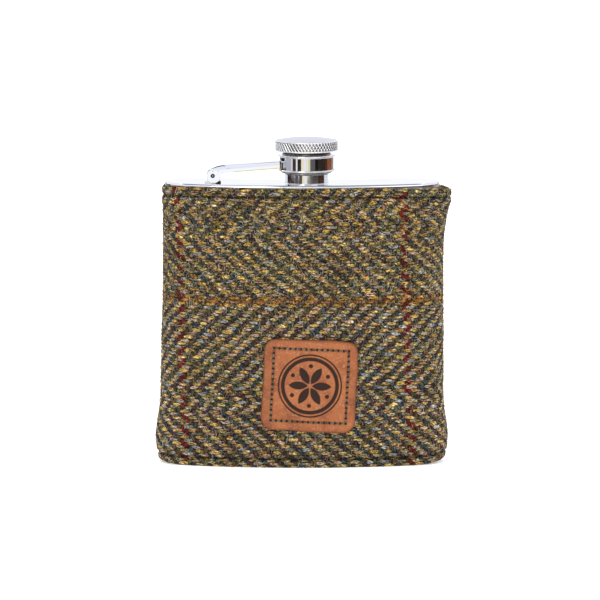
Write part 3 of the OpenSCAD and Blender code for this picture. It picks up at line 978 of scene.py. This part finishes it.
def cap_shell(material):
    """Knurled rim and a low dome; one family of the knurl's grooves is deeper than the other."""
    diamonds, rows = 56, 40
    segments = diamonds * 8
    angle = circle(segments)
    low, bevel, depth, lean = cap_low.z, 0.25 * MM, 0.26 * MM, 1.9 * MM
    z = np.linspace(low + bevel, RIM_TOP - bevel, rows)[:, None]

    def triangle(x):
        return 1 - np.abs(2 * (x - np.floor(x)) - 1)

    turn = angle * diamonds / math.tau
    left = 0.5 - 0.5 * np.cos(angle)
    cut = np.minimum(triangle(turn + z / lean), 1 - (1 - 0.75 * left) * (1 - triangle(turn - z / lean)))
    fade = np.minimum(1, np.minimum(z - low - bevel, RIM_TOP - bevel - z) / (0.3 * MM))
    pyramid = 1 - fade * (1 - np.clip(1.4 * cut, 0, 1))

    inner_r, inner_z, axis_r = 7.6 * MM, low + 1.0 * MM, 0.01 * MM
    lower = [(inner_r, low + 0.05 * MM), (8.2 * MM, low),
             *arc(CAP_R - bevel, low + bevel, bevel, -QUARTER, 0, 6)]
    edge_r = CAP_R - bevel - 0.1 * MM
    crown = cap_high.z - RIM_TOP
    curve = (edge_r ** 2 + crown ** 2) / (2 * crown)
    dome = [(max(r, axis_r), cap_high.z - curve + math.sqrt(curve ** 2 - r ** 2))
            for r in edge_r * np.linspace(1.0, 0.0, 26)]
    upper = [*arc(CAP_R - bevel, RIM_TOP - bevel, bevel, 0, QUARTER, 6), dome[0]]
    before = supported(lower)
    after = supported(upper) + dome[1:] + [(axis_r, inner_z), (inner_r, inner_z)]
    shape = turned(before, CAP_R - depth * (1 - pyramid), z, after)
    shell = new_piece("cap_knurled", shape, material, "cap", ("cap_shell",))
    # groove marks where the knurl's material paints shade, in the grooves.
    dark = np.zeros((len(shape[0]) // segments, segments))
    dark[len(before):len(before) + rows] = smoothstep(0.8, 0.4, pyramid)
    mark_points(shell, "groove", dark)


def cap_insert(material):
    """The skirt that screws on the neck, with the lip that keeps the ring on."""
    low, high, web = insert_low.z, insert_high.z, gasket_high.z
    r, lip_r, bore, axis_r = 8.0 * MM, 8.7 * MM, 7.35 * MM, 0.01 * MM
    corners = [(bore, low + 0.1 * MM), (bore + 0.15 * MM, low), (r, low),
               (lip_r, low + 0.36 * MM), (lip_r, low + 0.6 * MM), (r, low + 0.62 * MM),
               (r, high), (axis_r, high), (axis_r, web), (bore, web)]
    # The last three corners, on the axis and at the thread's end, stay sharp.
    outer = fillet(corners, 0.12 * MM)[:-14] + corners[-3:]
    start, stop = low + 0.5 * MM, web - 0.5 * MM
    z = np.linspace(stop, start, 40)[:, None]
    thread_r = bore - 0.35 * MM * thread_ridge(z, start, stop, 0)
    new_piece("cap_skirt", turned(supported(outer), thread_r, z), material, "cap",
              ("cap_insert",))


def gasket(material):
    low, high, axis_r = gasket_low.z, gasket_high.z, 0.01 * MM
    r = (gasket_high.x - gasket_low.x) / 2
    corners = [(axis_r, low), (r, low), (r, high), (axis_r, high)]
    # Only the two corners off the axis are rounded.
    section = [corners[0]] + fillet(corners, 0.3 * MM)[6:-6] + [corners[-1]]
    new_piece("gasket_disc", lathe(section, 96), material, "cap", ("cap_gasket",))


def captive_arm(material):
    """A folded channel: two cheeks with round lugs, and a web along the top."""
    bend, start, top_a, top_b = 0.45 * MM, 4.2 * MM, 3.6 * MM, arm_high.z - PIN.z
    heel, low_a, _, low_b = ARM_LOW
    half = (arm_high.y - arm_low.y) / 2
    lug = arc(0.35 * MM, -0.05 * MM, 2.35 * MM, math.radians(100), math.radians(368), 44)
    rising = [(ARM_END, top_b - bend), (start, top_a - bend)]
    crest = [(start - 0.9 * MM, top_a - bend + 0.05 * MM), (1.6 * MM, 2.9 * MM)]
    cheek = [(ARM_END, low_b), *rising, *crest, *lug, (3.3 * MM, 0.75 * MM), (heel, low_a)]
    points, faces = [], []
    for side in (-1, 1):
        loop = list(range(len(points), len(points) + len(cheek)))
        points += [(x, side * half, z) for x, z in cheek]
        faces.append(loop if side < 0 else loop[::-1])
    # The bends and the web join the cheeks' upper edges, side by side.
    across = arc(bend - half, 0, bend, math.pi, QUARTER, 6)
    across += [(-y, up) for y, up in across[::-1]]
    n = len(across)
    web = grid_faces(2, n) + len(points)
    points += [(x, y, z + up) for x, z in rising for y, up in across]
    shape = np.array(points) + np.array(PIN), faces + web.tolist()
    arm = new_piece("arm_channel", shape, material, "arm",
                    ("captive_arm",), smooth=False)
    modify(arm, "WELD", merge_threshold=0.02 * MM)
    modify(arm, "SOLIDIFY", thickness=0.6 * MM, offset=-1, use_even_offset=True)
    modify(arm, "BEVEL", width=0.2 * MM, segments=3, limit_method="ANGLE", angle_limit=math.radians(40))


def hinge_pin(material):
    """A pin whose ends have a turned groove round a small dome."""
    half, count = (pin_high.y - pin_low.y) / 2, 32
    end = [(0.01, -0.10), (0.16, -0.08), (0.24, 0.0), (0.28, 0.13), (0.64, 0.13), (0.67, 0.0),
           (0.70, -0.04), (0.75, 0.04)]
    profile = [(r * MM, -half + y * MM) for r, y in end]
    profile += [(r, -y) for r, y in profile[::-1]]
    profile = supported(profile, gap=0.02 * MM)
    points = [(PIN.x + r * math.cos(t), PIN.y + y, PIN.z + r * math.sin(t))
              for r, y in profile for t in circle(count)]
    shape = points, grid_faces(len(profile), count, False, True)
    new_piece("pin_steel", shape, material, "pin", ("hinge_pin",))


def arm_material():
    """Polished steel with painted reflections: lavender over the upper part, a warm glint along the lower
    edge, and dark streaks on the lug.
    """
    g = Graph("arm steel")
    x, _, z = g.xyz()
    slope = (ARM_LOW[3] - ARM_LOW[1]) / (ARM_LOW[2] - ARM_LOW[0])
    run = x - (PIN.x + ARM_LOW[0])
    above = z - (PIN.z + ARM_LOW[1]) - run * slope
    # Painted highlight: a warm glint along the lower edge.
    glint = g.ramp(0.42 * MM, 0.25 * MM, above) * g.ramp(0, 1.5 * MM, run)
    smears = g.noise(300.0, 3.0)
    # Painted reflection: lavender over the upper part, white low down.
    pale = g.mix(g.ramp(0.9 * MM, 1.5 * MM, above), (0.97, 0.97, 0.97), (0.83, 0.84, 0.89))
    # Painted dark reflections, streaked over the lug.
    lug_reflections = g.ramp(0.60, 0.66, g.noise(1500.0, at=g.vector(x * 0.5, 0.0, z)))
    pale = g.mix(lug_reflections * g.ramp(1.5 * MM, -1.0 * MM, run) * 0.7, pale, (0.3, 0.3, 0.33))
    warm = g.mix(g.ramp(0.4, 0.6, smears), (0.80, 0.62, 0.30), (0.66, 0.72, 0.26))
    g.bump(g.noise(1400.0, 3.0, 0.6), 0.05, 0.02 * MM)
    return g.finish(Base_Color=g.mix(glint, pale, warm), Metallic=1.0, Roughness=0.05 + smears * 0.05)


def knuckle_material():
    """Steel with painted shade, dark on the side towards the neck."""
    g = Graph("knuckle steel")
    x, _, _ = g.xyz()
    tint = g.noise(900.0, 3.0, 0.6)
    # Painted shade over the side towards the neck, with a wavering border.
    shadow_side = g.ramp(PIN.x - 0.5 * MM, PIN.x + 0.4 * MM, x + (tint - 0.5) * MM)
    color = g.mix(shadow_side, (0.78, 0.79, 0.82), (0.035, 0.03, 0.03))
    return g.finish(Base_Color=color, Metallic=1.0, Roughness=0.15 + shadow_side * 0.25)


def pin_material():
    """Satin steel, with painted shade in the groove of each end."""
    g = Graph("pin steel")
    x, _, z = g.xyz()
    dx, dz = x - PIN.x, z - PIN.z
    radius = g.math("SQRT", dx * dx + dz * dz)
    # Painted shade, black, in the groove round each end's dome.
    groove = g.ramp(0.22 * MM, 0.27 * MM, radius) * g.ramp(0.71 * MM, 0.67 * MM, radius)
    plain_steel = g.mix(g.noise(2400.0), (0.6, 0.6, 0.62), (0.7, 0.7, 0.72))
    return g.finish(Base_Color=g.mix(groove, plain_steel, (0.02, 0.02, 0.02)), Metallic=1.0 - groove,
                    Roughness=0.35 + groove * 0.4)


# Stage, light and camera


def stage():
    g = Graph("floor")
    color = g.mix(g.noise(3.0), (0.90, 0.90, 0.90), (0.93, 0.93, 0.93))
    material = g.finish(Base_Color=color, Roughness=0.8, Emission_Color=(1.0, 1.0, 1.0, 1.0),
                        Emission_Strength=0.4)
    size = 6.0
    corners = [(-size, -size, 0), (size, -size, 0), (size, size, 0), (-size, size, 0)]
    floor = add_mesh("floor", corners, [(0, 1, 2, 3)], material)
    floor.location.z = CAD_BOX[0][2]


def soft_light(name, place, size, power):
    """A rectangular lamp, aimed at the middle of the flask."""
    lamp = bpy.data.lights.new(name, "AREA")
    lamp.shape = "RECTANGLE"
    lamp.size, lamp.size_y = size
    lamp.energy = power
    light = add_object(name, lamp)
    light.location = place
    way = Vector((0, 0, 0.05)) - Vector(place)
    light.rotation_euler = way.to_track_quat("-Z", "Y").to_euler()


def mirrored_only(name, points, faces, graph, color):
    """A flat that only polished steel mirrors: it isn't seen and casts no shade."""
    emit = graph.node("ShaderNodeEmission", {"Color": color, "Strength": 1.0})
    graph.put(graph.tree.nodes["Material Output"].inputs["Surface"], emit.outputs[0])
    flat = add_mesh(name, points, faces, graph.material)
    for kind in ("camera", "diffuse", "shadow", "transmission"):
        setattr(flat, "visible_" + kind, False)


def flats():
    """A ring of dark and light flats round the flask, and a grey one overhead.

    Seen from the front, the neck mirrors the lower part of the ring, the cap the upper.
    """
    radius, count = 0.2, 180
    angle = circle(count)
    # It is lower at the back, so that the shoulder plate mirrors the white beyond it.
    height = np.where(np.cos(angle) < math.cos(math.radians(143)), 0.105, 0.125)
    ring = np.stack([radius * np.sin(angle), -radius * np.cos(angle), 0 * angle], axis=-1)
    g = Graph("surround")
    x, y, z = g.xyz()
    bearing = g.math("ARCTAN2", x, y * -1) * (180 / math.pi)
    white, cream, silver = (0.95, 0.97, 1.05), (1.0, 0.90, 0.62), (0.50, 0.51, 0.56)
    dim, black = (0.13, 0.12, 0.11), (0.008, 0.007, 0.007)
    umber, brown, rust = (0.035, 0.024, 0.018), (0.07, 0.032, 0.02), (0.26, 0.09, 0.035)
    ash, slate, yellow = (0.26, 0.25, 0.23), (0.13, 0.12, 0.11), (0.78, 0.75, 0.22)

    def banded(shades):
        """White, with bands of (first bearing, last bearing, colour)."""
        color = g.mix(0.0, white, white)
        for start, stop, shade in shades:
            inside = g.ramp(start - 2, start, bearing) * g.ramp(stop + 2, stop, bearing)
            color = g.mix(inside, color, shade)
        return color

    upper = banded(((-182, -150, black), (-142, -106, black), (-99, -67, silver),
                    (-60, -46, brown), (-37, -23, umber), (-20, -12, cream), (-1, 3, cream),
                    (9, 12, yellow), (16, 38, dim), (37, 52, black), (51, 86, umber),
                    (85, 99, brown), (98, 138, rust), (146, 182, black)))
    lower = banded(((-118, -96, black), (-98, -67, brown), (-69, -23, slate), (-21, -12, cream),
                    (0, 4, cream), (5, 26, ash), (25, 64, slate), (63, 104, brown)))
    # Above the top, it is seen only by way of the shoulder plate, low on the neck.
    split, top, soft = 78.75 * MM, 105 * MM, 0.2 * MM
    is_upper = g.ramp(split - soft, split + soft, z) * g.ramp(top + soft, top - soft, z)
    points = np.concatenate([ring, ring + height[:, None] * (0, 0, 1)])
    mirrored_only("surround", points, grid_faces(2, count, False, True), g, g.mix(is_upper, lower, upper))

    g = Graph("overhead")
    x, _, _ = g.xyz()
    patchy = g.mix(g.noise(12.0), (0.24, 0.24, 0.26), (0.34, 0.34, 0.36))
    color = g.mix(g.ramp(-0.025, -0.035, x), patchy, (0.70, 0.71, 0.78))
    color = g.mix(g.ramp(-0.09, -0.1, x), color, black)
    mirrored_only("overhead", ring * 0.75 + (0, 0, 0.3), [range(count)], g, color)


def studio():
    """A plain white surround and soft lamps."""
    bpy.context.scene.view_settings.view_transform = "Standard"
    world = bpy.data.worlds.new("studio")
    bpy.context.scene.world = world
    world.use_nodes = True
    background = world.node_tree.nodes["Background"]
    background.inputs["Color"].default_value = (0.95, 0.965, 1.0, 1)
    background.inputs["Strength"].default_value = 1.1
    soft_light("key", (-0.45, -1.0, 0.9), (0.5, 0.5), 3.5)
    soft_light("fill", (0.9, -0.9, 0.6), (0.8, 0.8), 1.5)
    soft_light("top", (0.0, 0.3, 1.3), (1.2, 0.8), 4.0)
    flats()


def camera():
    """A long lens, a little above the flask, framed as in a catalogue picture."""
    distance, elevation = 3.0, math.radians(6.4)
    sensor, seen_width = 36.0, 0.2003
    target = Vector((-0.0007, CAD_BOX[0][1], 0.0568))
    data = bpy.data.cameras.new("camera")
    data.sensor_width = sensor
    data.lens = sensor * distance / seen_width
    data.clip_end = 50
    eye = add_object("camera", data)
    way = Vector((0, -math.cos(elevation), math.sin(elevation)))
    eye.location = target + way * distance
    eye.rotation_euler = (-way).to_track_quat("-Z", "Y").to_euler()
    bpy.context.scene.camera = eye


def build():
    camera()
    studio()
    stage()
    mirror = steel_material("polished steel", (0.80, 0.81, 0.84), 0.07, 0.05)
    satin = steel_material("satin steel", (0.74, 0.74, 0.76), 0.34, 0.25)
    tweed, leather, fibre = tweed_material(), leather_material(), fuzz_material()
    thread = thread_material("patch thread", srgb(58, 56, 44), srgb(122, 120, 98))
    dark_thread = thread_material("hem thread", srgb(34, 30, 24), srgb(66, 58, 44))

    for name, kept in (("body_shell", satin), ("base_plate", satin),
                       ("hinge_knuckle", knuckle_material())):
        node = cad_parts[name]
        node.data.materials.clear()
        node.data.materials.append(kept)

    tweed_panel("tweed_front", False, tweed)
    tweed_panel("tweed_back", True, tweed)
    fuzz("tweed_front_fuzz", False, fibre)
    fuzz("tweed_back_fuzz", True, fibre)
    hem_stitches("top_hem_thread", TOP_CREASE, dark_thread)
    hem_stitches("bottom_hem_thread", BOTTOM_CREASE, dark_thread)
    seam_stitches("seam_thread_left", -1, dark_thread)
    seam_stitches("seam_thread_right", 1, dark_thread)
    leather_patch(leather)
    patch_stitching(thread)
    top_plate(mirror)
    neck(mirror)
    cap_ring(mirror)
    captive_arm(arm_material())
    hinge_pin(pin_material())
    cap_shell(knurled_material())
    cap_insert(skirt_material())
    gasket(rubber_material())


build()
